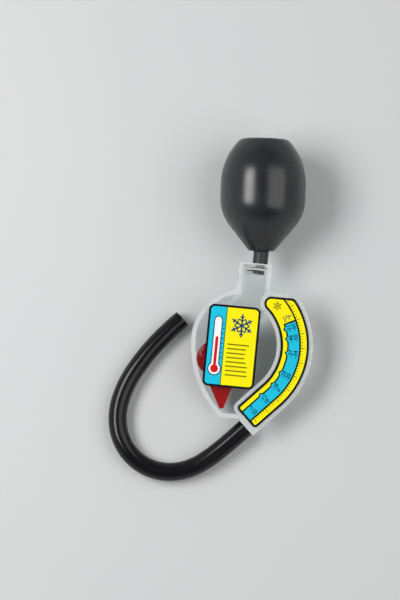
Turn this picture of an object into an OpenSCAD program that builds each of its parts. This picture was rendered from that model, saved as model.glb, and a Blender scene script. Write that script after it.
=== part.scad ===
// Antifreeze tester: a flat clear body with a swinging pointer, a squeeze bulb and a free hose.
// Millimetres, +Z up. The tester lies on its back, on the bulb's belly and the body's hose end.

/* [Squeeze bulb] */
// Radius of the bulb at its belly
bulb_r = 22.9; // [19:0.1:27]
// Height of the bulb from its base to its flat crown
bulb_h = 60.3; // [54:0.1:70]
// Radius of the flat crown, before its edge is rounded
crown_r = 12.7; // [10:0.1:16]
// Radius of the crown's rounded edge
crown_round = 4; // [3.2:0.1:6]
// Radius of the base, where the cone starts
base_r = 6.8; // [5.5:0.1:9]
// Half angle of the cone above the base
cone_a = 39; // [32:0.5:43]
// Height above the base where the dome starts
dome_y = 36; // [33:0.5:42]
// Thickness of the rubber
bulb_wall = 2.2; // [1.5:0.1:3]
// Outside diameter of the bulb's neck
bulb_neck_d = 8.1; // [7:0.1:10]
// Length of the bulb's neck above the clear mouth
bulb_neck_l = 7; // [4:0.5:12]
// Lean of the bulb on its soft neck, away from the scale
bulb_lean = 3.8; // [0:0.1:8]

/* [Clear body] */
// Thickness of the body over both faces
body_t = 16; // [13:0.5:22]
// Thickness of the front and rear walls
face_t = 1.8; // [1.2:0.1:2.6]
// Thickness of the side wall
rim_t = 2.4; // [1.6:0.1:3.2]
// Width of the clear neck
neck_w = 17.4; // [14:0.2:22]
// How far the clear neck's middle lies left of the bulb's axis
neck_off = 2.5; // [0:0.1:3.5]
// Depth of the shoulders below the mouth
shoulder_y = 14.7; // [11:0.1:20]
// Reach of the body to the left of the bulb's axis
left_w = 33; // [30:0.5:38]
// Radius of the upper left side
left_r = 27.3; // [22:0.1:30]
// Radius of the lower left side
lower_r = 55; // [45:1:70]
// Depth of the flat bottom edge below the mouth
bottom_y = 83.8; // [82.6:0.2:90]
// How far the dial's centre lies left of the bulb's axis
dial_x = 12.8; // [11:0.1:14]
// Depth of the dial's centre below the mouth
dial_y = 44.8; // [43:0.1:46.5]
// Radius of the right side about the dial's centre
dial_r = 45.2; // [44:0.2:50]
// Radius of the upper right corner
corner_r = 6; // [5.5:0.1:9]
// Radius in the right hand corner of the clear neck
neck_fillet_r = 2; // [1:0.1:4]
// Radius in the left hand corner of the clear neck
neck_fillet_l = 5; // [2:0.1:7]
// Angle below level where the right side runs out straight
tail_a = 43.2; // [40:0.2:46]
// Length of the straight run
tail_l = 22.3; // [20:0.1:26]
// Width of the body's end at the hose
tail_w = 10.9; // [10.2:0.1:13]
// Height of the cover's locating lip
lip_h = 1.2; // [0.6:0.1:2]
// Thickness of the cover's locating lip
lip_t = 1.1; // [0.8:0.1:1.4]

/* [Stem and nipple] */
// Outside diameter of the stem that carries the bulb
stem_d = 4.4; // [3.8:0.1:5.2]
// Length of the stem above the mouth
stem_l = 6; // [4:0.5:9]
// Bore of the stem
stem_bore = 2.4; // [1.6:0.1:3]
// Thickness of the side wall that is left under the bulb's neck
mouth_floor = 0.8; // [0.6:0.1:1.2]
// Outside diameter of the nipple that carries the hose
nipple_d = 5.8; // [5:0.1:5.9]
// Length of the nipple beyond the body's end
nipple_l = 9; // [6:0.5:12]
// Bore of the nipple
nipple_bore = 3.4; // [2:0.1:4]

/* [Pointer] */
// Distance of the pivot from the body's left side
pivot_in = 16.6; // [15:0.1:18]
// Depth of the pivot below the mouth
pivot_y = 48.5; // [47:0.1:50]
// Diameter of the pivot pin
pin_d = 2; // [1.5:0.1:2.4]
// Depth of the pin in each boss
pin_seat = 3; // [2:0.1:3.4]
// Diameter of the two bosses
boss_d = 5; // [4.2:0.1:6]
// Diameter of the pointer's hub
hub_d = 5; // [4.4:0.1:5.6]
// Length of the pointer's hub
hub_l = 4.4; // [3.8:0.1:5]
// Thickness of the pointer's plate
plate_t = 3; // [2:0.1:3.6]
// Distance from the pivot to the float end's middle, towards the tip
lobe_x = 4.1; // [3:0.1:5]
// Distance from the pivot to the float end's middle, sideways
lobe_side = 3.9; // [3:0.1:5]
// Radius from the pivot to the tip
tip_r = 30.9; // [29:0.1:31.2]
// Length of the arrow head
head_l = 13.4; // [10:0.2:16]
// Width of the arrow head at its base
head_w = 13; // [10:0.2:15]
// Width of the blunt tip
tip_w = 2; // [1:0.1:3]
// Width of the shaft between float end and head
shaft_w = 6; // [4:0.2:8]
// Angle of the hanging pointer from straight down, towards the scale
rest_a = 6.1; // [4:0.1:9]
// Diameter of the weight
weight_d = 4.4; // [3:0.1:4.8]

/* [Labels] */
// Thickness of both labels
label_t = 0.2; // [0.1:0.05:0.4]
// Width of the scale label
scale_w = 15; // [13:0.2:15.4]
// Bare length between the scale label and the hose end
scale_end = 3.3; // [3:0.1:5]
// Corner radius of the scale label
scale_corner = 2; // [1:0.1:3]
// Radius of the scale label's pointed upper corner
scale_tip = 3.8; // [3:0.1:5]
// Width of the bead round the scale label
bead_w = 1.8; // [1.2:0.1:2]
// Height of the bead
bead_h = 0.4; // [0.2:0.1:0.8]
// Distance of the front label's left edge from the body's left side
tag_in = 8; // [7.6:0.1:9]
// Height of the front label
tag_h = 44; // [38:0.5:45]
// Depth of the front label's middle below the mouth
tag_y = 45.6; // [44:0.1:46]
// Corner radius of the front label
tag_corner = 3.2; // [2.4:0.1:5]

/* [Hose] */
// Outside diameter of the hose
hose_d = 10; // [9:0.1:10.2]
// Bore of the hose
hose_bore = 6.6; // [6.4:0.1:7.4]

/* [Clearances] */
// Clearance between the bulb's neck and the stem, and under the neck's end
stem_clear = 0.08; // [0.05:0.01:0.15]
// Running clearance of the pointer on its pin
run_clear = 0.05; // [0.03:0.01:0.1]
// Clearance of a piece that is pressed into its seat
seat_clear = 0.01; // [0.005:0.005:0.02]
// End play between the pointer's hub and each boss
end_play = 0.25; // [0.2:0.05:0.5]
// Gap between the float end and the side wall
lobe_gap = 0.4; // [0.35:0.05:0.8]
// Clearance between the cover's lip and the side wall
lip_clear = 0.15; // [0.1:0.05:0.3]
// Gap between the scale label and its bead
bead_gap = 0.3; // [0.2:0.05:0.6]
// Gap between the front label and the bead
tag_gap = 0.25; // [0.2:0.05:0.5]
// Weld line between the side wall and the cover
weld_gap = 0.05; // [0.02:0.01:0.1]
// Gap between the hose and the table, and between the hose and the body's end
hose_gap = 0.03; // [0.02:0.01:0.1]

/* [Hidden] */
$fn = 96;
// Largest angle between two points of an arc
arc_step = 4;
// How far joined solids run into each other
bite = 0.5;
half_t = body_t / 2;
cover_z = half_t - face_t;

// Points of the body's outline, from the bulb's axis at the mouth
left_c = [left_r - left_w, -shoulder_y - left_r];
lower_c = [lower_r - left_w, left_c.y];
dial_c = [-dial_x, -dial_y];
corner_y = -shoulder_y - corner_r;
corner_run = sqrt(pow(dial_r - corner_r, 2) - pow(corner_y - dial_c.y, 2));
corner_c = [dial_c.x + corner_run, corner_y];
corner_a = atan2(corner_c.y - dial_c.y, corner_c.x - dial_c.x);
neck_right = neck_w / 2 - neck_off;
neck_left = -neck_w / 2 - neck_off;
fillet_x = neck_left - neck_fillet_l;
fillet_y = left_c.y + sqrt(pow(left_r + neck_fillet_l, 2) - pow(fillet_x - left_c.x, 2));
fillet_a = atan2(left_c.y - fillet_y, left_c.x - fillet_x);
hose_u = dial_r - tail_w / 2;
pivot_x = left_w - pivot_in;
mouth_seat = rim_t - mouth_floor;

// Bulb profile: cone, ball, short cylinder and dome, each running smoothly into the next
ball_y = (bulb_r * cos(cone_a) - base_r) / tan(cone_a) + bulb_r * sin(cone_a);
dome_in = bulb_r - crown_r;
dome_up = bulb_h - dome_y;
dome_r = (pow(dome_in, 2) + pow(dome_up, 2)) / (2 * dome_in);
dome_c = [bulb_r - dome_r, dome_y];
crown_a = asin((dome_up - crown_round) / (dome_r - crown_round));
crown_c = dome_c + (dome_r - crown_round) * [cos(crown_a), sin(crown_a)];
stem_hole_d = stem_d + 2 * stem_clear;

// Lying pose: the ball and the rear edge of the hose end touch the table
tail_end_y = dial_y + dial_r * sin(tail_a) + tail_l * cos(tail_a);
low_y = max(bottom_y, tail_end_y);
span_y = bulb_neck_l + ball_y * cos(bulb_lean) + low_y;
tilt = asin(bulb_r / norm([span_y, half_t])) - atan2(half_t, span_y);
lift_z = low_y * sin(tilt) + half_t * cos(tilt);
right_w = max(dial_r - dial_x, bulb_r - ball_y * sin(bulb_lean));
bulb_left = dome_r + dome_c.x * cos(bulb_lean) + dome_y * sin(bulb_lean);
middle_x = (max(left_w, bulb_left) - right_w) / 2;
crown_y = bulb_neck_l + crown_c.y * cos(bulb_lean);
crown_slope = acos(cos(tilt) * cos(bulb_lean));
back_y = crown_y * cos(tilt) + crown_c.x * sin(crown_slope) + crown_round;
nipple_v = tail_l + nipple_l;
nipple_y = dial_y + (hose_u + nipple_d / 2) * sin(tail_a) + nipple_v * cos(tail_a);
near_y = max(low_y * cos(tilt) + half_t * sin(tilt), nipple_y * cos(tilt));
middle_y = (near_y - back_y) / 2;

// Scale band between the bead's edges
edge_in = bead_w + bead_gap + 0.1;
scale_out_r = dial_r - edge_in;
scale_in_r = scale_out_r - scale_w;
scale_top_y = -shoulder_y - edge_in;
scale_tail = tail_l - scale_end;

// Front label, from its left edge to a corner that clears the bead
tag_reach = scale_in_r - bead_gap - bead_w - tag_gap - tag_corner;
tag_low = tag_y + tag_h / 2 - tag_corner - dial_y;
tag_right = dial_c.x + (tag_reach - tag_low * sin(tail_a)) / cos(tail_a) + tag_corner;
tag_left = tag_in - left_w;
tag_w = tag_right - tag_left;

// Float end, as large as the side wall lets it hang
lobe_c = [
    lobe_x * sin(rest_a) - lobe_side * cos(rest_a) - pivot_x,
    -lobe_x * cos(rest_a) - lobe_side * sin(rest_a) - pivot_y
];
lobe_r = lower_r - rim_t - norm(lobe_c - lower_c) - lobe_gap;

// Hose route from the body's end: sideways, along, and the share of its start's height over the table
hose_run = [
    [0, 0, 1],
    [-3.07, -3.24, 0.89],
    [-6.13, -6.49, 0.78],
    [-12.2, -12.7, 0.57],
    [-18.2, -18.2, 0.41],
    [-24.6, -22.9, 0.28],
    [-32, -26.3, 0.17],
    [-40.4, -27.8, 0.08],
    [-49, -26.7, 0.03],
    [-56.7, -23.2, 0],
    [-63, -17.5, 0],
    [-67.3, -10.2, 0],
    [-69.3, -2, 0],
    [-69.2, 6.1, 0],
    [-67.4, 14.1, 0],
    [-64.4, 21.8, 0],
    [-60.4, 29.2, 0],
    [-55.9, 36.3, 0],
    [-50.8, 43.1, 0],
    [-45.4, 49.5, 0],
    [-39.7, 55.6, 0]
];
hose_start = lay_point(run_point(hose_u, tail_l + hose_gap));
hose_z = hose_d / 2 + hose_gap;
hose_route = [for (p = hose_run) [
    hose_start.x + p.x,
    hose_start.y + p.y,
    hose_z + p.z * (hose_start.z - hose_z)
]];
hose_sides = 12;

// Lays a piece that is drawn upright, in the tester's own plane, on the table
module lay() {
    translate([middle_x, middle_y, lift_z])
        rotate([tilt, 0, 0])
            children();
}

// Turns to the straight run at the hose end: X across it, outwards, and Y back up the run
module at_tail() {
    translate(dial_c)
        rotate([0, 0, -tail_a])
            children();
}

// A rectangle from one corner to the opposite one
module area(low, high) {
    translate(low)
        square(high - low);
}

// Points along an arc
function arc(centre, r, from, to) =
    let (steps = ceil(abs(to - from) / arc_step))
    [for (k = [0 : steps])
        let (a = from + (to - from) * k / steps)
        centre + r * [cos(a), sin(a)]];

// A point on the straight run at the hose end: u across it from the dial's centre, v along it
function run_point(u, v) =
    dial_c + u * [cos(tail_a), -sin(tail_a)] - v * [sin(tail_a), cos(tail_a)];

// A point of the tester's middle plane, on the table
function lay_point(p) =
    [middle_x + p.x, middle_y + p.y * cos(tilt), lift_z + p.y * sin(tilt)];

// The body's outline, drawn in by an inset for its hollow and the cover's lip
module outline(inset) {
    end_v = tail_l - inset;
    inner_u = dial_r - tail_w + inset;
    floor_y = inset - bottom_y;
    floor_a = asin((lower_c.y - floor_y) / (lower_r - inset));
    floor_v = (dial_c.y - inner_u * sin(tail_a) - floor_y) / cos(tail_a);
    polygon(concat(
        [run_point(dial_r - inset, end_v)],
        arc(dial_c, dial_r - inset, -tail_a, corner_a),
        arc(corner_c, corner_r - inset, corner_a, 90),
        arc(
            [neck_right + neck_fillet_r, neck_fillet_r - shoulder_y],
            neck_fillet_r + inset, 270, 180
        ),
        [[neck_right - inset, -inset], [neck_left + inset, -inset]],
        arc([fillet_x, fillet_y], neck_fillet_l + inset, 0, fillet_a),
        arc(left_c, left_r - inset, fillet_a + 180, 180),
        arc(lower_c, lower_r - inset, 180, 180 + floor_a),
        [run_point(inner_u, min(floor_v, end_v - 0.1)), run_point(inner_u, end_v)]
    ));
}

// The scale band with its rounded corners, grown for its bead
module band(grow) {
    r = scale_corner + grow;
    tip = scale_tip + grow;
    low_u = scale_in_r - grow;
    high_u = scale_out_r + grow;
    end_v = scale_tail + grow - r;
    top_y = scale_top_y + grow - dial_c.y;
    out_a = asin((top_y - r) / (high_u - r));
    in_a = asin((top_y - tip) / (low_u + tip));
    polygon(concat(
        arc(run_point(high_u - r, end_v), r, -90 - tail_a, -tail_a),
        arc(dial_c, high_u, -tail_a, out_a),
        arc(dial_c + (high_u - r) * [cos(out_a), sin(out_a)], r, out_a, 90),
        arc(dial_c + (low_u + tip) * [cos(in_a), sin(in_a)], tip, 90, in_a + 180),
        arc(dial_c, low_u, in_a, -tail_a),
        arc(run_point(low_u + r, end_v), r, 180 - tail_a, 270 - tail_a)
    ));
}

// Bulb profile, half of it, from its base up its axis
module bulb_half(inset) {
    foot = base_r + inset * tan(cone_a) - inset / cos(cone_a);
    polygon(concat(
        [[0, inset], [foot, inset]],
        arc([0, ball_y], bulb_r - inset, -cone_a, 0),
        arc(dome_c, dome_r - inset, 0, crown_a),
        arc(crown_c, crown_round - inset, crown_a, 90),
        [[0, bulb_h - inset]]
    ));
}

// The bulb's round form, leaning on its neck
module bulb_form(inset) {
    translate([0, bulb_neck_l, 0])
        rotate([-90, 0, bulb_lean])
            rotate_extrude()
                bulb_half(inset);
}

// A round bar along the tester's axis, from one height to another
module bar_y(from, to, d) {
    translate([0, from, 0])
        rotate([-90, 0, 0])
            cylinder(h = to - from, d = d);
}

// A round bar along the hose end's axis, from one distance beyond the arc to another
module bar_tail(from, to, d) {
    at_tail()
        translate([hose_u, -from, 0])
            rotate([90, 0, 0])
                cylinder(h = to - from, d = d);
}

module at_pivot() {
    translate([-pivot_x, -pivot_y, 0])
        children();
}

// Black rubber bulb with its neck
module squeeze_bulb() {
    color("#1b1b1c")
    lay()
    difference() {
        union() {
            bulb_form(0);
            bar_y(stem_clear - mouth_seat, bulb_neck_l + bulb_wall, bulb_neck_d);
        }
        bulb_form(bulb_wall);
        bar_y(-mouth_seat - 1, bulb_neck_l + bulb_wall + 1, stem_hole_d);
    }
}

// Clear tray with the side wall, the stem and the hose nipple
module rear_shell() {
    color("#dfe6e8", 0.35)
    lay() {
        difference() {
            union() {
                difference() {
                    translate([0, 0, -half_t])
                        linear_extrude(half_t + cover_z - weld_gap)
                            outline(0);
                    bar_y(-mouth_seat, 1, bulb_neck_d + 2 * stem_clear);
                }
                bar_y(-mouth_seat - mouth_floor / 2, stem_l, stem_d);
                bar_tail(tail_l - rim_t / 2, nipple_v, nipple_d);
            }
            translate([0, 0, -cover_z])
                linear_extrude(body_t)
                    outline(rim_t);
            bar_y(-rim_t - 1, stem_l + 1, stem_bore);
            bar_tail(tail_l - rim_t - 1, nipple_v + 1, nipple_bore);
        }
        boss(-1);
    }
}

// Boss for one end of the pin, on the rear wall (-1) or the cover (1)
module boss(side) {
    foot_z = hub_l / 2 + end_play;
    at_pivot()
        rotate([side > 0 ? 0 : 180, 0, 0])
            translate([0, 0, foot_z])
                difference() {
                    cylinder(h = cover_z - foot_z + bite, d = boss_d);
                    translate([0, 0, -1])
                        cylinder(h = pin_seat + 1, d = pin_d + 2 * seat_clear);
                }
}

// Clear cover with the bead round the scale
module front_shell() {
    color("#dfe6e8", 0.35)
    lay() {
        translate([0, 0, cover_z])
            linear_extrude(face_t)
                outline(0);
        translate([0, 0, cover_z - lip_h])
            linear_extrude(lip_h + bite)
                difference() {
                    outline(rim_t + lip_clear);
                    outline(rim_t + lip_clear + lip_t);
                }
        translate([0, 0, half_t - bite])
            linear_extrude(bead_h + bite)
                difference() {
                    band(bead_gap + bead_w);
                    band(bead_gap);
                }
        boss(1);
    }
}

// Steel pin that the pointer swings on
module pivot_pin() {
    reach = hub_l / 2 + end_play + pin_seat;
    color("#b9bcc0")
    lay()
        at_pivot()
            translate([0, 0, -reach])
                cylinder(h = 2 * reach, d = pin_d);
}

// Turns to the pointer: X from the pivot to the tip
module at_pointer() {
    at_pivot()
        rotate([0, 0, rest_a - 90])
            children();
}

// Red pointer: float end, shaft and arrow head
module pointer() {
    color("#c1121c")
    lay()
    at_pointer()
    difference() {
        union() {
            translate([0, 0, -plate_t / 2])
                linear_extrude(plate_t) {
                    translate([lobe_x, -lobe_side])
                        circle(lobe_r);
                    area([0, -shaft_w / 2], [tip_r - head_l + 1, shaft_w / 2]);
                    polygon([
                        [tip_r - head_l, -head_w / 2],
                        [tip_r, -tip_w / 2],
                        [tip_r, tip_w / 2],
                        [tip_r - head_l, head_w / 2]
                    ]);
                }
            translate([0, 0, -hub_l / 2])
                cylinder(h = hub_l, d = hub_d);
        }
        translate([0, 0, -hub_l])
            cylinder(h = 2 * hub_l, d = pin_d + 2 * run_clear);
        translate([lobe_x, -lobe_side, -plate_t])
            cylinder(h = 2 * plate_t, d = weight_d + 2 * seat_clear);
    }
}

// Brass weight in the middle of the float end
module pointer_weight() {
    color("#b58a3c")
    lay()
    at_pointer()
        translate([lobe_x, -lobe_side, -plate_t / 2])
            cylinder(h = plate_t, d = weight_d);
}

// Scale label on the cover, inside its bead
module scale_label() {
    color("#f7ea10")
    lay()
        translate([0, 0, half_t])
            linear_extrude(label_t)
                band(0);
}

// Front label on the cover, over the pivot
module front_label() {
    color("#f7ea10")
    lay()
        translate([(tag_left + tag_right) / 2, -tag_y, half_t])
            linear_extrude(label_t) {
                square([tag_w, tag_h - 2 * tag_corner], center = true);
                square([tag_w - 2 * tag_corner, tag_h], center = true);
                for (x = [-1, 1], y = [-1, 1])
                    translate([x * (tag_w / 2 - tag_corner), y * (tag_h / 2 - tag_corner)])
                        circle(tag_corner);
            }
}

// One ring of points across a route, level with the table
function heading(route, i) =
    let (
        before = route[max(i - 1, 0)],
        after = route[min(i + 1, len(route) - 1)]
    )
    (after - before) / norm(after - before);

function across(run) = cross(run, [0, 0, 1]) / norm(cross(run, [0, 0, 1]));

function ring(route, i, r, sides) =
    let (
        run = heading(route, i),
        side = across(run),
        up = cross(side, run)
    )
    [for (k = [0 : sides - 1])
        route[i] + r * (cos(360 * k / sides) * side + sin(360 * k / sides) * up)];

// Points of a tube: all outer rings, then all inner rings
function tube_points(route, r_out, r_in, sides) = concat(
    [for (i = [0 : len(route) - 1]) each ring(route, i, r_out, sides)],
    [for (i = [0 : len(route) - 1]) each ring(route, i, r_in, sides)]
);

// Faces of a tube: outer wall, inner wall and the two cut ends
function tube_faces(rings, sides) =
    let (inner = rings * sides, last = (rings - 1) * sides)
    concat(
        [for (i = [0 : rings - 2], k = [0 : sides - 1])
            let (a = i * sides + k, b = i * sides + (k + 1) % sides)
            [a, b, b + sides, a + sides]],
        [for (i = [0 : rings - 2], k = [0 : sides - 1])
            let (a = inner + i * sides + k, b = inner + i * sides + (k + 1) % sides)
            [b, a, a + sides, b + sides]],
        [for (k = [0 : sides - 1])
            let (n = (k + 1) % sides)
            [n, k, inner + k, inner + n]],
        [for (k = [0 : sides - 1])
            let (n = (k + 1) % sides)
            [last + k, last + n, inner + last + n, inner + last + k]]
    );

// Black hose, cut open at its free end
module hose() {
    color("#161617")
        polyhedron(
            tube_points(hose_route, hose_d / 2, hose_bore / 2, hose_sides),
            tube_faces(len(hose_route), hose_sides),
            convexity = 4
        );
}

squeeze_bulb();
rear_shell();
front_shell();
pivot_pin();
pointer();
pointer_weight();
scale_label();
front_label();
hose();
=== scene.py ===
"""Looks of the antifreeze tester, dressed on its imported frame. Metres, in the frame's own axes."""
from math import asin, ceil, cos, pi, radians, sin, tan

import bmesh
import bpy
from mathutils import Matrix, Vector


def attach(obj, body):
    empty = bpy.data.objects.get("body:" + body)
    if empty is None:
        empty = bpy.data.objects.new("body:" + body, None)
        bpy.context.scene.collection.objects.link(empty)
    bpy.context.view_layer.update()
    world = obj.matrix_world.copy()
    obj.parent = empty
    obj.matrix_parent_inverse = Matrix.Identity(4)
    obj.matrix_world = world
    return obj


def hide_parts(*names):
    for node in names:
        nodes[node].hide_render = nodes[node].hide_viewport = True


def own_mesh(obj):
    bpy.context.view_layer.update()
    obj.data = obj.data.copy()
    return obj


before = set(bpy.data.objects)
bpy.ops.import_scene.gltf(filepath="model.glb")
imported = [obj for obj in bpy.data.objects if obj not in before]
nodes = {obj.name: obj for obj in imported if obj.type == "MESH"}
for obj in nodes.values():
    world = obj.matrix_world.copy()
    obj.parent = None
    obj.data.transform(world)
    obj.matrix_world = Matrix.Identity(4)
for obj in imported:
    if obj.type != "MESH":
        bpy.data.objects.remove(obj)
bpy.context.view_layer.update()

MM = 0.001
# Points nearer than this are one point, in metres, and levels nearer than this are one, in millimetres
MERGE = 0.000002
NEAR = 0.01
# Faces that meet at less than these angles are shaded as one
SMOOTH_A = radians(40)
SHELL_SMOOTH_A = radians(32)

# The tester's own plane: from the clear mouth, +Y to the bulb, +Z out of the front face
TILT = radians(6.76684)
MOUTH = Vector((0.3, 13.9584, 18.7843)) * MM
LAY = Matrix.Translation(MOUTH) @ Matrix.Rotation(TILT, 4, "X")
FACE = LAY.to_3x3() @ Vector((0, 0, 1))

# Photograph: its middle in the tester's plane, its height there, and how far it is turned
PHOTO_MIDDLE = (-30.3, -22.4)
PHOTO_HEIGHT = 323.1
PHOTO_TURN = radians(5.5)
CAMERA_AWAY = 1200
SENSOR = 36

# Bulb, in millimetres from its base
BULB_R = 22.9
BULB_H = 60.3
BULB_BASE_R = 6.8
BULB_BASE_Y = 7
BULB_LEAN = radians(3.8)
BASE_SOFT = 0.7
CONE_A = radians(39)
DOME_Y = 36
CROWN_R = 12.7
CROWN_ROUND = 4
BULB_DULL = 0.19
BULB_SIDES = 96
# The crown's faint hollow: shares of its flat's radius, and the depth at each
CROWN_HOLLOW = [(0.6, 0.12), (0, 0.3)]

# Bulb's neck, in the tester's plane
NECK_R = 4.05
NECK_BORE_R = 2.3
NECK_FOOT_Y = -1.52
NECK_EASE = 0.25
NECK_FLARE = 0.9
NECK_DULL = 0.42
NECK_SIDES = 64
# How far the neck goes into the bulb, and how far it draws in there
NECK_IN, NECK_TUCK = 0.8, 0.6

# Clear body's outline, in the tester's plane
HALF_T = 8
WALL = 2.4
SHOULDER_Y = -14.7
LEFT_MIDDLE, LEFT_R = (-5.7, -42), 27.3
LOWER_MIDDLE, LOWER_R = (22, -42), 55
BOTTOM_Y = -83.8
MOUTH_LEFT, MOUTH_RIGHT = -11.2, 6.2
MOUTH_TOP_Y = 1.7
MOUTH_FOOT_Y = SHOULDER_Y - 3 * WALL
RIGHT_R = 45.2
CORNER_BLEND = 3
TAIL_L = 22.3
TAIL_W = 10.9
BEAD_Z = 8.4
BEAD_GAP = 0.3
BEAD_W = 1.8
SHELL_ROUND = 1
BEAD_EASE = 0.25
CLEAR_IOR = 1.49

# Dial and labels
DIAL = (-12.8, -44.8)
TAIL_A = radians(43.2)
LABEL_TOP_Z = 8.2
LABEL_RIM = 1.2
SCALE_IN, SCALE_OUT = 28, 43
SCALE_TOP_Y = -16.9
SCALE_TAIL = 19
SCALE_CORNER = 2
SCALE_TIP = 3.8
TAG_MIDDLE = (-11.1, -45.6)
TAG_SIZE = (27.8, 44)
TAG_CORNER = 3.2

# Scale label's print
BLUE_IN, BLUE_OUT = 32.2, 37.8
BLUE_END = 38.2
BLUE_LINE = 0.85
OUTER_LINE = 0.45
TOOTH_H = 1.1
TOOTH_SLOPE = 0.75
TICK_IN = 38.6
TICK_R = 40
TICK_INK = 0.75
# Short and long ticks: the step between them, half a tick's width, and its length
TICKS = [(1.6, 0.18, 1.2), (8, 0.22, 2.2)]
SCALE_FLAKE, SCALE_FLAKE_R = (11.2, -21.6), 2.5
SCALE_FLAKE_INK = 0.8

# Scale's numbers
NUMBER_ROWS = (33.6, 36.2)
NUMBER_H = 2.1
NUMBER_SHARE = 0.7
NUMBER_WEIGHT = 0.03
NUMBER_T = 0.01
NUMBER_LIFT = 0.02
UNITS_PAST = 3
UNITS = ("°C", "°F")
# Each reading: its place along the band, and its numbers in the two rows
READINGS = [
    (-13.3, "-7", "20"),
    (-4.7, "-12", "10"),
    (3.7, "-18", "0"),
    (11.4, "-29", "-20"),
    (22.8, "-37", "-34"),
    (30.5, "-46", "-50"),
    (35.9, "-51", "-60"),
]

# Front label's print, from the label's middle
STRIP_EDGE, STRIP_LINE = -4.2, 0.2
TUBE_X = -8.2
TUBE_FOOT, TUBE_TOP, TUBE_R = -12, 13.5, 1.8
TUBE_LINE = 0.55
BOWL_LOW, BOWL_HIGH, BOWL_R = -12.5, -12.4, 3.1
COLUMN_TOP, COLUMN_R, COLUMN_BOWL_R = 4, 0.8, 2.1
MARK_STEP, MARK_HALF = 2.6, 0.2
MARK_X, MARK_REACH = -5.4, 0.7
MARKS_Y, MARKS_REACH = 2.5, 11
TAG_FLAKE, TAG_FLAKE_R = (4.4, 11.6), 6.2
RULE_STEP, RULE_HALF = 2.35, 0.36
RULE_LEFT, RULE_SHORT, RULE_SPREAD = -2.4, 7.2, 3.6
RULES_Y, RULES_REACH = -7.05, 9.4
RULE_INK = 0.8

# Ice crystal, in shares of its reach. Each pair of twigs: where it starts, and its length
ARM_HALF, TWIG_HALF = 0.07, 0.055
TWIGS = [(0.4, 0.36), (0.68, 0.22)]
SIXTH = pi / 3

# Hose and its route, as the solid has them
HOSE_START = LAY @ (Vector((0.8906, -88.2886, 0)) * MM)
HOSE_D = 10
HOSE_BORE = 6.6
HOSE_Z = 5.03
HOSE_EASE = 0.35
HOSE_STEPS = 6
# Each point: its place from the start, and its share of the start's height
HOSE_RUN = [
    (0, 0, 1), (-3.07, -3.24, 0.89), (-6.13, -6.49, 0.78), (-12.2, -12.7, 0.57),
    (-18.2, -18.2, 0.41), (-24.6, -22.9, 0.28), (-32, -26.3, 0.17), (-40.4, -27.8, 0.08),
    (-49, -26.7, 0.03), (-56.7, -23.2, 0), (-63, -17.5, 0), (-67.3, -10.2, 0),
    (-69.3, -2, 0), (-69.2, 6.1, 0), (-67.4, 14.1, 0), (-64.4, 21.8, 0),
    (-60.4, 29.2, 0), (-55.9, 36.3, 0), (-50.8, 43.1, 0), (-45.4, 49.5, 0),
    (-39.7, 55.6, 0),
]

# Printing inks
YELLOW = (0.93, 0.82, 0.004, 1)
BLACK = (0.006, 0.006, 0.007, 1)
CYAN = (0.012, 0.52, 0.72, 1)
NAVY = (0.004, 0.05, 0.14, 1)
WHITE = (0.88, 0.89, 0.88, 1)
RED = (0.6, 0.01, 0.012, 1)

# Metals, dark and pale in their rings
STEEL = (0.42, 0.43, 0.45, 1), (0.66, 0.67, 0.69, 1)
BRASS = (0.5, 0.32, 0.09, 1), (0.7, 0.49, 0.17, 1)

# Studio, in metres
FLOOR_R = 1
FLOOR_Z = -0.0002
FLOOR_FADE, FLOOR_FADE_W = 0.7, 0.5
PALE = (0.6, 0.605, 0.61, 1)
OVERHEAD = (0.108, 0.11, 0.114, 1)
PALE_UP, PALE_FADE = 0.4, 0.3
# Each lamp: its name, its place in the tester's plane, its size and its power
LAMPS = [
    ("left_box", (-0.6, 0.1, 0.72), (0.64, 0.38), 7.3),
    ("right_box", (0.56, 0.12, 0.8), (1, 0.85), 5),
]


class Value:
    """A number, colour or vector that one node gives, with Python's operators for numbers."""

    def __init__(self, finish, socket):
        self.finish = finish
        self.socket = socket

    def __add__(self, other):
        return self.finish.math("ADD", self, other)

    def __radd__(self, other):
        return self.finish.math("ADD", other, self)

    def __sub__(self, other):
        return self.finish.math("SUBTRACT", self, other)

    def __rsub__(self, other):
        return self.finish.math("SUBTRACT", other, self)

    def __mul__(self, other):
        return self.finish.math("MULTIPLY", self, other)

    def __rmul__(self, other):
        return self.finish.math("MULTIPLY", other, self)

    def __truediv__(self, other):
        return self.finish.math("DIVIDE", self, other)

    def __rtruediv__(self, other):
        return self.finish.math("DIVIDE", other, self)

    def __abs__(self):
        return self.finish.math("ABSOLUTE", self)


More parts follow.
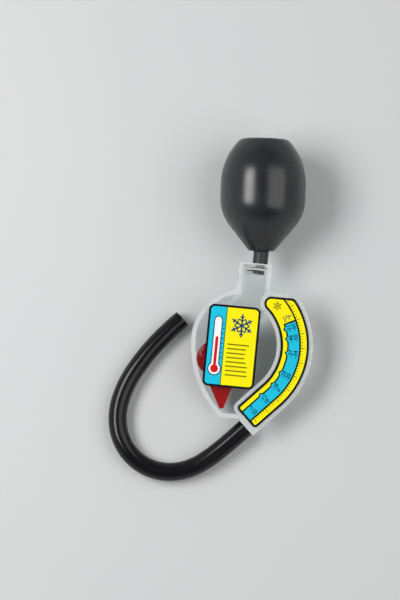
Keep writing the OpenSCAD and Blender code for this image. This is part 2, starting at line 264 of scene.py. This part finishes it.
class Finish:
    """One material, or the world: its nodes, and the ways to add to them."""

    def __init__(self, name, kind="materials"):
        self.made = getattr(bpy.data, kind).new(name)
        self.made.use_nodes = True
        self.tree = self.made.node_tree
        self.tree.nodes.clear()

    def node(self, kind, settings=None, sockets=None, out=0):
        """Adds a node: first its settings, then its sockets' values or links."""
        made = self.tree.nodes.new("ShaderNode" + kind)
        for key, value in (settings or {}).items():
            setattr(made, key, value)
        for key, value in (sockets or {}).items():
            if isinstance(value, Value):
                self.tree.links.new(value.socket, made.inputs[key])
            else:
                made.inputs[key].default_value = value
        return Value(self, made.outputs[out])

    def math(self, operation, *values, clamp=False):
        settings = {"operation": operation, "use_clamp": clamp}
        return self.node("Math", settings, dict(enumerate(values)))

    def least(self, a, b):
        return self.math("MINIMUM", a, b)

    def most(self, a, b):
        return self.math("MAXIMUM", a, b)

    def length(self, x, y):
        return self.math("SQRT", x * x + y * y)

    def below(self, value, edge, soft=0.08):
        """1 where the value is below the edge, 0 above it, and a soft step between."""
        return self.math("MULTIPLY_ADD", value, -1 / soft, 0.5 + edge / soft, clamp=True)

    def above(self, value, edge, soft=0.08):
        """1 where the value is above the edge, 0 below it, and a soft step between."""
        return self.math("MULTIPLY_ADD", value, 1 / soft, 0.5 - edge / soft, clamp=True)

    def from_middle(self, value, step):
        """How far a value is from the middle of its step, in steps that repeat."""
        return abs(self.math("FRACT", value / step) - 0.5) * step

    def mix(self, mask, under, over):
        return self.node("Mix", {"data_type": "RGBA"}, {0: mask, 6: under, 7: over}, out=2)

    def split(self, vector):
        """A vector's three numbers."""
        parts = self.node("SeparateXYZ", None, {0: vector}).socket.node.outputs
        return [Value(self, part) for part in parts]

    def here(self):
        return self.node("TexCoord", out="Object")

    def place(self):
        """Where a point lies in the tester's own plane, in millimetres."""
        turn = {
            "Vector": self.here(), "Location": MOUTH, "Rotation": (TILT, 0, 0), "Scale": (MM, MM, MM),
        }
        return self.split(self.node("Mapping", {"vector_type": "TEXTURE"}, turn))

    def facing(self):
        """How squarely a face looks out of the tester's plane, from 0 to 1."""
        sockets = {0: self.node("TexCoord", out="Normal"), 1: FACE}
        return abs(self.node("VectorMath", {"operation": "DOT_PRODUCT"}, sockets, out="Value"))

    def noise(self, scale, detail=3, vector=None):
        sockets = {"Vector": vector or self.here(), "Scale": scale, "Detail": detail}
        return self.node("TexNoise", None, sockets)

    def bump(self, height, distance, strength=1):
        return self.node("Bump", None, {"Height": height, "Distance": distance, "Strength": strength})

    def shader(self, sockets):
        return self.node("BsdfPrincipled", None, sockets)

    def close(self, shader, end="OutputMaterial"):
        """Links the last shader to the output, and gives the finished material or world."""
        last = self.tree.nodes.new("ShaderNode" + end)
        self.tree.links.new(shader.socket, last.inputs["Surface"])
        return self.made


def band_place(f, x, y):
    """Where a point lies on the scale's band: across it, along it, and past its straight run's start."""
    dx = x - DIAL[0]
    dy = y - DIAL[1]
    run = 0 - (dx * sin(TAIL_A) + dy * cos(TAIL_A))
    straight = f.above(run, 0, 0.001)
    curved = 1 - straight
    across = f.length(dx, dy) * curved + (dx * cos(TAIL_A) - dy * sin(TAIL_A)) * straight
    turn = f.math("ARCTAN2", dy, dx) + TAIL_A
    along = turn * BLUE_IN * curved - run * straight
    return across, along, run


def scale_edge(f, x, y, across, run):
    """Distance from the scale label's edge, in millimetres, less than nothing inside."""
    side = f.least(across - SCALE_IN, SCALE_OUT - across)
    end = f.least(SCALE_TOP_Y - y, SCALE_TAIL - run)
    over_side = f.most(SCALE_CORNER - side, 0)
    over_end = f.most(SCALE_CORNER - end, 0)
    plain = f.length(over_side, over_end) - SCALE_CORNER
    tip_r = SCALE_IN + SCALE_TIP
    tip_top = SCALE_TOP_Y - SCALE_TIP
    tip_a = asin((tip_top - DIAL[1]) / tip_r)
    tip_x = x - DIAL[0] - tip_r * cos(tip_a)
    tip_y = y - tip_top
    inward = tip_y * cos(tip_a) - tip_x * sin(tip_a)
    corner = f.below(tip_x, 0, 0.02) * f.above(inward, 0, 0.02)
    tip = f.length(tip_x, tip_y) - SCALE_TIP
    return tip * corner + plain * (1 - corner)


def wall_depth(f, x, y, across, run):
    """Depth of a point behind the clear body's outer edge, in millimetres."""
    upper = LEFT_R - f.length(f.most(LEFT_MIDDLE[0] - x, 0), y - LEFT_MIDDLE[1])
    lower = LOWER_R - f.length(x - LOWER_MIDDLE[0], y - LOWER_MIDDLE[1])
    low = f.below(y, LEFT_MIDDLE[1], 0.01)
    left = upper * (1 - low) + lower * low
    right = RIGHT_R - across
    main = f.math("SMOOTH_MIN", f.least(left, y - BOTTOM_Y), right, CORNER_BLEND)
    mouth_sides = f.least(x - MOUTH_LEFT, MOUTH_RIGHT - x)
    mouth = f.least(mouth_sides, f.least(MOUTH_TOP_Y - y, y - MOUTH_FOOT_Y))
    tail = f.least(f.least(across - (RIGHT_R - TAIL_W), right), TAIL_L - run)
    return f.most(f.most(main, mouth), f.least(tail, run))


def bulb_rubber(name, dullness):
    """Satin black rubber with a little bloom, a fine grain and a faint mould line."""
    f = Finish(name)
    z = f.place()[2]
    bloom = f.noise(70, 4)
    grain = f.noise(2600, 2)
    line = f.below(abs(z), 0.1, 0.16)
    return f.close(f.shader({
        "Base Color": f.mix(bloom, (0.006, 0.0065, 0.007, 1), (0.02, 0.021, 0.023, 1)),
        "Roughness": dullness + bloom * 0.12 + grain * 0.05,
        "Normal": f.bump(grain * 0.25 + line, 0.00006),
        "IOR": 1.52,
    }))


def hose_rubber():
    """Black rubber with the fine lengthwise lines that its die leaves."""
    f = Finish("hose_rubber")
    run = f.node("Mapping", None, {"Vector": f.node("TexCoord", out="UV"), "Scale": (4, 90, 1)})
    lines = f.noise(1, 3, run)
    bloom = f.noise(90, 4)
    return f.close(f.shader({
        "Base Color": f.mix(bloom, (0.002, 0.002, 0.003, 1), (0.009, 0.009, 0.01, 1)),
        "Roughness": 0.12 + bloom * 0.07 + lines * 0.05,
        "Normal": f.bump(lines, 0.00005, 0.7),
        "Specular IOR Level": 0.3,
    }))


def clear_plastic(name, with_bead):
    """Clear moulded plastic that lets the lamps through, with a painted pale highlight on the thick wall
    and bead where they face out of the tester's plane, standing in for the light the rims refract.
    """
    f = Finish(name)
    x, y, _ = f.place()
    across, _, run = band_place(f, x, y)
    thick = f.below(wall_depth(f, x, y, across, run), WALL, 0.5)
    if with_bead:
        edge = scale_edge(f, x, y, across, run)
        bead = f.below(abs(edge - BEAD_GAP - BEAD_W / 2), BEAD_W / 2, 0.3)
        thick = f.most(thick, bead)
    level = f.above(f.facing(), 0.75, 0.3)
    marks = f.noise(160, 5)
    wave = f.noise(55, 1)
    body = f.shader({
        "Base Color": (0.965, 0.98, 0.978, 1),
        "Roughness": 0.02 + f.below(marks, 0.42, 0.2) * 0.05,
        "Normal": f.bump(wave, 0.00012, 0.5),
        "IOR": CLEAR_IOR,
        "Transmission Weight": 1,
    })
    # Painted highlight: a pale matt shader that stands in for the light the thick rims refract and
    # reflect
    painted_rim_light = f.shader({
        "Base Color": f.mix(marks, (0.58, 0.6, 0.6, 1), (0.7, 0.715, 0.715, 1)),
        "Roughness": 0.12,
        "IOR": CLEAR_IOR,
    })
    # Share of the painted rim highlight: on the thick wall and bead where they face out of the tester's
    # plane, uneven with the wave
    painted_rim_share = thick * level * (0.42 + wave * 0.2)
    seen = f.node("MixShader", None, {0: painted_rim_share, 1: body, 2: painted_rim_light})
    through = f.node("BsdfTransparent", None, {"Color": (0.93, 0.95, 0.95, 1)})
    bounce = f.node("LightPath", out="Is Diffuse Ray")
    lit = f.node("MixShader", None, {0: bounce, 1: seen, 2: through})
    lamp_ray = f.node("LightPath", out="Is Shadow Ray")
    return f.close(f.node("MixShader", None, {0: lamp_ray, 1: lit, 2: through}))


def red_plastic():
    """Red moulded plastic with faint flow marks."""
    f = Finish("red_plastic")
    flow = f.noise(120, 4)
    return f.close(f.shader({
        "Base Color": f.mix(flow, (0.33, 0.001, 0.001, 1), (0.44, 0.002, 0.003, 1)),
        "Roughness": 0.16 + flow * 0.08,
        "Normal": f.bump(f.noise(900, 2), 0.00002, 0.6),
        "Specular IOR Level": 0.2,
    }))


def turned_metal(name, dark, pale, roughness):
    """Turned metal with fine rings round the pivot's direction."""
    f = Finish(name)
    z = f.place()[2]
    rings = f.noise(1, 2, f.node("CombineXYZ", None, {"Z": z * 9}))
    return f.close(f.shader({
        "Base Color": f.mix(rings, dark, pale),
        "Metallic": 1,
        "Roughness": roughness + rings * 0.14,
        "Normal": f.bump(rings, 0.00002, 0.5),
    }))


def printed_film(f, colour):
    """Glossy film over its printed colours."""
    wave = f.noise(140, 2)
    return f.close(f.shader({
        "Base Color": colour,
        "Roughness": 0.2 + wave * 0.08,
        "Normal": f.bump(wave, 0.00004, 0.4),
        "Specular IOR Level": 0.2,
        "Coat Weight": 0.25,
        "Coat Roughness": 0.08,
    }))


def flake(f, x, y, middle, reach):
    """Six-armed ice crystal: 1 on its arms."""
    x = x - middle[0]
    y = y - middle[1]
    r = f.length(x, y)
    sector = f.math("FRACT", f.math("ARCTAN2", y, x) / SIXTH + 6)
    turn = (sector - 0.5) * SIXTH
    along = r * f.math("COSINE", turn)
    out = abs(r * f.math("SINE", turn))
    arm = f.below(f.most(out - ARM_HALF * reach, along - reach), 0)
    for start, share in TWIGS:
        half = share * reach / 2
        ahead = along - start * reach
        off = abs(ahead * sin(SIXTH) - out * cos(SIXTH))
        far = ahead * cos(SIXTH) + out * sin(SIXTH)
        twig = f.most(off - TWIG_HALF * reach, abs(far - half) - half)
        arm = f.most(arm, f.below(twig, 0))
    return arm


def upright_bar(f, x, y, low, high, r):
    """Distance to a round-ended bar on the thermometer's middle line, in millimetres."""
    past = f.most(abs(y - (low + high) / 2) - (high - low) / 2, 0)
    return f.length(x - TUBE_X, past) - r


def thermometer(f, x, y, top, r, bowl_r):
    """Distance to the thermometer's tube, or the column in it, with the bowl at its foot."""
    bar = upright_bar(f, x, y, TUBE_FOOT, top, r)
    return f.least(bar, upright_bar(f, x, y, BOWL_LOW, BOWL_HIGH, bowl_r))


def tag_print():
    """Front label: a thermometer on a blue strip, an ice crystal, and plain rules."""
    f = Finish("tag_print")
    own_x, own_y, _ = f.place()
    x = own_x - TAG_MIDDLE[0]
    y = own_y - TAG_MIDDLE[1]
    over_x = f.most(abs(x) - (TAG_SIZE[0] / 2 - TAG_CORNER), 0)
    over_y = f.most(abs(y) - (TAG_SIZE[1] / 2 - TAG_CORNER), 0)
    rim = f.length(over_x, over_y) - TAG_CORNER
    colour = f.mix(f.below(x, STRIP_EDGE), YELLOW, CYAN)
    colour = f.mix(f.below(abs(x - STRIP_EDGE), STRIP_LINE), colour, BLACK)
    tube = thermometer(f, x, y, TUBE_TOP, TUBE_R, BOWL_R)
    colour = f.mix(f.below(tube, TUBE_LINE), colour, NAVY)
    colour = f.mix(f.below(tube, 0), colour, WHITE)
    column = thermometer(f, x, y, COLUMN_TOP, COLUMN_R, COLUMN_BOWL_R)
    colour = f.mix(f.below(column, 0), colour, RED)
    mark = f.most(f.from_middle(y, MARK_STEP) - MARK_HALF, abs(x - MARK_X) - MARK_REACH)
    marks = f.most(mark, abs(y - MARKS_Y) - MARKS_REACH)
    colour = f.mix(f.below(marks, 0), colour, NAVY)
    colour = f.mix(flake(f, x, y, TAG_FLAKE, TAG_FLAKE_R), colour, NAVY)
    row = f.math("FLOOR", y / RULE_STEP)
    longer = f.node("TexWhiteNoise", {"noise_dimensions": "1D"}, {"W": row}) * RULE_SPREAD
    ends = f.most(RULE_LEFT - x, x - RULE_SHORT - longer)
    rule = f.most(f.from_middle(y, RULE_STEP) - RULE_HALF, ends)
    rules = f.most(rule, abs(y - RULES_Y) - RULES_REACH)
    colour = f.mix(f.below(rules, 0) * RULE_INK, colour, BLACK)
    colour = f.mix(f.below(rim, -LABEL_RIM), BLACK, colour)
    return printed_film(f, colour)


def tick_marks(f, across, outer, step, half, reach):
    """Distance to a row of ticks outside the blue band, in millimetres."""
    side = step / 2 - half - f.from_middle(outer, step)
    return f.most(side, abs(across - (TICK_IN + reach / 2)) - reach / 2)


def scale_print():
    """Scale label: a blue band with teeth at its readings, between two yellow strips."""
    f = Finish("scale_print")
    x, y, _ = f.place()
    across, along, run = band_place(f, x, y)
    tooth = 0
    for place, _, _ in READINGS[1:]:
        tooth = f.most(tooth, TOOTH_H - abs(along - place) * TOOTH_SLOPE)
    low = BLUE_IN - tooth
    blue = f.most(f.most(low - across, across - BLUE_OUT), along - BLUE_END)
    colour = f.mix(f.below(blue, BLUE_LINE), YELLOW, BLACK)
    colour = f.mix(f.below(blue, 0), colour, CYAN)
    colour = f.mix(f.below(abs(across - BLUE_OUT - OUTER_LINE), OUTER_LINE), colour, BLACK)
    outer = f.most(along, 0) * (TICK_R / BLUE_IN) + f.least(along, 0)
    short_ticks, long_ticks = [tick_marks(f, across, outer, *tick) for tick in TICKS]
    colour = f.mix(f.below(f.least(short_ticks, long_ticks), 0) * TICK_INK, colour, BLACK)
    crystal = flake(f, x, y, SCALE_FLAKE, SCALE_FLAKE_R)
    colour = f.mix(crystal * SCALE_FLAKE_INK, colour, BLACK)
    rim = scale_edge(f, x, y, across, run)
    colour = f.mix(f.below(rim, -LABEL_RIM), BLACK, colour)
    return printed_film(f, colour)


def number_ink():
    """Dark blue ink, a little uneven."""
    f = Finish("number_ink")
    patch = f.noise(1500, 2)
    return f.close(f.shader({
        "Base Color": f.mix(patch, (0.002, 0.02, 0.06, 1), (0.004, 0.04, 0.11, 1)),
        "Roughness": 0.22 + patch * 0.1,
        "Specular IOR Level": 0.2,
    }))


def pale_floor():
    """Pale matt floor that fades into the surround at its edge."""
    f = Finish("pale_floor")
    x, y, _ = f.split(f.here())
    cloud = f.noise(6, 2)
    return f.close(f.shader({
        "Base Color": f.mix(cloud, PALE, (0.63, 0.63, 0.63, 1)),
        "Roughness": 0.9,
        "Specular IOR Level": 0.1,
        "Alpha": f.below(f.length(x, y), FLOOR_FADE, FLOOR_FADE_W),
    }))


def pale_surround():
    """The studio: pale all round near the table's level, and dim overhead."""
    f = Finish("pale_surround", "worlds")
    height = f.split(f.node("TexCoord", out="Generated"))[2]
    colour = f.mix(f.below(height, PALE_UP, PALE_FADE), OVERHEAD, PALE)
    return f.close(f.node("Background", None, {"Color": colour}), "OutputWorld")


def pick(piece):
    """Selects one piece alone."""
    bpy.ops.object.select_all(action="DESELECT")
    piece.select_set(True)
    bpy.context.view_layer.objects.active = piece


def add_piece(name, data):
    """A new piece from a mesh or a curve, selected alone."""
    piece = bpy.data.objects.new(name, data)
    bpy.context.collection.objects.link(piece)
    pick(piece)
    return piece


def open_mesh():
    """Starts work on the active piece's mesh, with all of it selected."""
    bpy.ops.object.mode_set(mode="EDIT")
    bpy.ops.mesh.select_all(action="SELECT")


def mend_mesh():
    """Merges the points that touch, turns the faces outwards and ends the work on the mesh."""
    bpy.ops.mesh.select_all(action="SELECT")
    bpy.ops.mesh.remove_doubles(threshold=MERGE)
    bpy.ops.mesh.normals_make_consistent(inside=False)
    bpy.ops.object.mode_set(mode="OBJECT")


def settle(piece, place):
    """Puts a piece in its place and keeps the place in its mesh."""
    pick(piece)
    piece.matrix_world = place
    bpy.ops.object.transform_apply(location=True, rotation=True, scale=True)


def dress(piece, finish, body):
    """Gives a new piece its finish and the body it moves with."""
    piece.data.materials.clear()
    piece.data.materials.append(finish)
    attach(piece, body)


def make_camera():
    """Looks straight down on the tester's plane, turned and framed as in the photograph."""
    bpy.ops.object.camera_add()
    camera = bpy.context.object
    camera.name = "photo_camera"
    middle = Vector((*PHOTO_MIDDLE, CAMERA_AWAY)) * MM
    camera.matrix_world = LAY @ Matrix.Translation(middle) @ Matrix.Rotation(PHOTO_TURN, 4, "Z")
    camera.data.sensor_width = SENSOR
    camera.data.lens = SENSOR * CAMERA_AWAY / PHOTO_HEIGHT
    bpy.context.scene.camera = camera


def smooth_route(points, steps):
    """A curve that passes through all the points."""
    ends = [2 * points[0] - points[1], *points, 2 * points[-1] - points[-2]]
    route = []
    for a, b, c, d in zip(ends, ends[1:], ends[2:], ends[3:]):
        for k in range(steps):
            t = k / steps
            route.append(0.5 * (
                2 * b + (c - a) * t + (2 * a - 5 * b + 4 * c - d) * t ** 2
                + (3 * b - a - 3 * c + d) * t ** 3
            ))
    return [*route, points[-1]]


def make_hose():
    """Hose along its route, with its bore and a softened cut at both ends."""
    rise = HOSE_START.z - HOSE_Z * MM
    points = [
        Vector((HOSE_START.x + x * MM, HOSE_START.y + y * MM, HOSE_Z * MM + share * rise))
        for x, y, share in HOSE_RUN
    ]
    route = smooth_route(points, HOSE_STEPS)
    line = bpy.data.curves.new("hose_tube", "CURVE")
    line.dimensions = "3D"
    line.bevel_depth = HOSE_D / 2 * MM
    line.bevel_resolution = 10
    spline = line.splines.new("POLY")
    spline.points.add(len(route) - 1)
    for point, place in zip(spline.points, route):
        point.co = (*place, 1)
    add_piece("hose_tube", line)
    bpy.ops.object.convert(target="MESH")
    hose = bpy.context.object
    wall = hose.modifiers.new("wall", "SOLIDIFY")
    wall.thickness = (HOSE_D - HOSE_BORE) / 2 * MM
    wall.offset = -1
    bpy.ops.object.modifier_apply(modifier="wall")
    edge = hose.modifiers.new("edge", "BEVEL")
    edge.width = HOSE_EASE * MM
    edge.segments = 2
    edge.angle_limit = radians(60)
    bpy.ops.object.modifier_apply(modifier="edge")
    bpy.ops.object.shade_smooth_by_angle(angle=SMOOTH_A)
    dress(hose, hose_rubber(), "case")
    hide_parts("hose")
    length = sum((b - a).length for a, b in zip(route, route[1:]))


def arc(middle, r, start, stop, step=radians(4)):
    """Points along an arc, as (radius, height)."""
    count = ceil(abs(stop - start) / step)
    turns = [start + (stop - start) * k / count for k in range(count + 1)]
    return [(middle[0] + r * cos(a), middle[1] + r * sin(a)) for a in turns]


def trace(name, points):
    """Starts a piece as a chain of edges: a plane merged to one point, extruded along the points."""
    bpy.ops.object.select_all(action="DESELECT")
    bpy.ops.mesh.primitive_plane_add(size=MM)
    piece = bpy.context.object
    piece.name = name
    piece.data.name = name
    open_mesh()
    bpy.ops.mesh.merge(type="CENTER")
    bpy.ops.transform.translate(value=points[0])
    for here, there in zip(points, points[1:]):
        bpy.ops.mesh.extrude_vertices_move(TRANSFORM_OT_translate={"value": there - here})
    bpy.ops.object.mode_set(mode="OBJECT")
    return piece


def turn_on_axis(name, profile, steps):
    """Spins a profile of (radius, height) round +Y."""
    points = [Vector((r, y, 0)) * MM for r, y in profile]
    piece = trace(name, points)
    open_mesh()
    bpy.ops.mesh.spin(steps=steps, angle=2 * pi, center=(0, 0, 0), axis=(0, 1, 0))
    mend_mesh()
    bpy.ops.object.shade_smooth_by_angle(angle=SMOOTH_A)
    return piece


def make_bulb():
    """The bulb, pinched flat between finger and thumb when it is squeezed."""
    ball_y = (BULB_R * cos(CONE_A) - BULB_BASE_R) / tan(CONE_A) + BULB_R * sin(CONE_A)
    dome_in = BULB_R - CROWN_R
    dome_up = BULB_H - DOME_Y
    dome_r = (dome_in ** 2 + dome_up ** 2) / (2 * dome_in)
    crown_a = asin((dome_up - CROWN_ROUND) / (dome_r - CROWN_ROUND))
    crown = (
        BULB_R - dome_r + (dome_r - CROWN_ROUND) * cos(crown_a),
        DOME_Y + (dome_r - CROWN_ROUND) * sin(crown_a),
    )
    soft_in = BASE_SOFT * tan((pi / 2 - CONE_A) / 2)
    profile = [
        (0, 0),
        (NECK_R, 0),
        *arc((BULB_BASE_R - soft_in, BASE_SOFT), BASE_SOFT, -pi / 2, -CONE_A, radians(12)),
        *arc((0, ball_y), BULB_R, -CONE_A, 0),
        *arc((BULB_R - dome_r, DOME_Y), dome_r, 0, crown_a),
        *arc(crown, CROWN_ROUND, crown_a, pi / 2, radians(8))[1:],
        *[(crown[0] * share, BULB_H - depth) for share, depth in CROWN_HOLLOW],
    ]
    bulb = turn_on_axis("bulb_belly", profile, BULB_SIDES)
    base = Matrix.Translation((0, BULB_BASE_Y * MM, 0)) @ Matrix.Rotation(BULB_LEAN, 4, "Z")
    settle(bulb, LAY @ base)
    dress(bulb, bulb_rubber("bulb_rubber", BULB_DULL), "bulb")
    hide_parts("squeeze_bulb")
    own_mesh(bulb)


def bend_top(piece, height):
    """Turns the neck's rings from a height upwards to meet the leaning bulb squarely."""
    mesh = bmesh.new()
    mesh.from_mesh(piece.data)
    bmesh.ops.rotate(
        mesh, verts=[v for v in mesh.verts if v.co.y > (height - NEAR) * MM],
        cent=(0, BULB_BASE_Y * MM, 0), matrix=Matrix.Rotation(BULB_LEAN, 3, "Z"),
    )
    mesh.to_mesh(piece.data)
    mesh.free()


def make_neck():
    """The bulb's neck, which stays with the clear body while the bulb is squeezed."""
    flare_y = BULB_BASE_Y - NECK_FLARE
    flare_r = NECK_R + NECK_FLARE
    top_y = BULB_BASE_Y + NECK_IN
    profile = [
        (NECK_BORE_R, NECK_FOOT_Y),
        (NECK_R - NECK_EASE, NECK_FOOT_Y),
        (NECK_R, NECK_FOOT_Y + NECK_EASE),
        (NECK_R, flare_y),
        *arc((flare_r, flare_y), NECK_FLARE, pi, pi / 2, radians(15))[1:],
        (flare_r - NECK_TUCK, top_y),
        (NECK_BORE_R, top_y),
        (NECK_BORE_R, NECK_FOOT_Y),
    ]
    neck = turn_on_axis("bulb_neck", profile, NECK_SIDES)
    bend_top(neck, flare_y)
    settle(neck, LAY)
    dress(neck, bulb_rubber("neck_rubber", NECK_DULL), "case")


def on_band(across, along):
    """A point of the scale band and the angle of its rows there."""
    if along >= 0:
        turn = along / BLUE_IN - TAIL_A
        x = DIAL[0] + across * cos(turn)
        y = DIAL[1] + across * sin(turn)
    else:
        turn = -TAIL_A
        x = DIAL[0] + across * cos(turn) + along * sin(TAIL_A)
        y = DIAL[1] + across * sin(turn) + along * cos(TAIL_A)
    return x, y, turn + pi / 2


def print_number(words, across, along):
    """One number on the scale, as thin raised ink."""
    bpy.ops.object.select_all(action="DESELECT")
    bpy.ops.object.text_add()
    number = bpy.context.object
    number.data.body = words
    number.data.size = NUMBER_H / NUMBER_SHARE * MM
    number.data.offset = NUMBER_WEIGHT * NUMBER_H * MM
    number.data.resolution_u = 4
    number.data.extrude = NUMBER_T * MM
    number.data.align_x = "CENTER"
    number.data.align_y = "CENTER"
    bpy.ops.object.convert(target="MESH")
    number = bpy.context.object
    x, y, turn = on_band(across, along)
    spot = Matrix.Translation(Vector((x, y, LABEL_TOP_Z + NUMBER_LIFT)) * MM)
    settle(number, LAY @ spot @ Matrix.Rotation(turn, 4, "Z"))
    return number


def make_numbers():
    """The readings in two rows, and their units above them."""
    rows = [*READINGS, (BLUE_END + UNITS_PAST, *UNITS)]
    numbers = []
    for along, *pair in rows:
        for words, across in zip(pair, NUMBER_ROWS):
            numbers.append(print_number(words, across, along))
    pick(numbers[0])
    for number in numbers:
        number.select_set(True)
    bpy.ops.object.join()
    piece = bpy.context.object
    piece.name = "scale_numbers"
    open_mesh()
    mend_mesh()
    dress(piece, number_ink(), "case")


def pick_edges(piece, level):
    """Selects the sharp outward edges of a piece at one level of the tester's own plane."""
    to_own = LAY.inverted()
    mesh = bmesh.from_edit_mesh(piece.data)
    for edge in mesh.edges:
        flat = all(abs((to_own @ v.co).z / MM - level) < NEAR for v in edge.verts)
        if flat and edge.is_convex and edge.calc_face_angle() > radians(50):
            edge.select_set(True)
    bmesh.update_edit_mesh(piece.data)


def soften_shell(node, name, edges, finish):
    """A copy of a clear shell with its edges rounded, at each level and by its width there."""
    shell = add_piece(name, nodes[node].data.copy())
    open_mesh()
    bpy.ops.mesh.remove_doubles(threshold=MERGE)
    bpy.ops.mesh.dissolve_limited(angle_limit=radians(0.6))
    for level, width in edges:
        bpy.ops.mesh.select_all(action="DESELECT")
        pick_edges(shell, level)
        bpy.ops.mesh.bevel(offset=width * MM, segments=4, affect="EDGES", clamp_overlap=True)
    bpy.ops.mesh.select_all(action="SELECT")
    bpy.ops.mesh.dissolve_degenerate(threshold=MERGE)
    bpy.ops.object.mode_set(mode="OBJECT")
    bpy.ops.object.shade_smooth_by_angle(angle=SHELL_SMOOTH_A)
    dress(shell, finish, "case")
    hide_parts(node)


def make_shells():
    """The clear tray and its cover."""
    tray_edges = [(-HALF_T, SHELL_ROUND)]
    cover_edges = [(HALF_T, SHELL_ROUND), (BEAD_Z, BEAD_EASE)]
    soften_shell("rear_shell", "clear_tray", tray_edges, clear_plastic("clear_tray", False))
    soften_shell("front_shell", "clear_cover", cover_edges, clear_plastic("clear_cover", True))


def paint_nodes():
    """Finishes of the solids that show as they are."""
    finishes = {
        "pivot_pin": turned_metal("pin_steel", *STEEL, 0.2),
        "pointer": red_plastic(),
        "pointer_weight": turned_metal("weight_brass", *BRASS, 0.22),
        "scale_label": scale_print(),
        "front_label": tag_print(),
    }
    for name, finish in finishes.items():
        nodes[name].data.materials.clear()
        nodes[name].data.materials.append(finish)


def add_lamp(name, place, size, power):
    """Soft box that faces the tester."""
    bpy.ops.object.light_add(type="AREA")
    lamp = bpy.context.object
    lamp.name = name
    lamp.location = LAY @ Vector(place)
    lamp.rotation_euler = (MOUTH - lamp.location).to_track_quat("-Z", "Y").to_euler()
    lamp.data.shape = "RECTANGLE"
    lamp.data.size, lamp.data.size_y = size
    lamp.data.energy = power
    lamp.visible_camera = False


def make_stage():
    """Pale floor, a soft box either side of the camera, and the surround."""
    bpy.ops.object.select_all(action="DESELECT")
    bpy.ops.mesh.primitive_circle_add(
        vertices=64, radius=FLOOR_R, fill_type="NGON", location=(0, 0, FLOOR_Z),
    )
    floor = bpy.context.object
    floor.name = "floor"
    floor.data.materials.append(pale_floor())
    for lamp in LAMPS:
        add_lamp(*lamp)
    bpy.context.scene.world = pale_surround()


bpy.context.scene.view_settings.view_transform = "Standard"
make_camera()
make_hose()
make_bulb()
make_neck()
make_shells()
make_numbers()
paint_nodes()
make_stage()
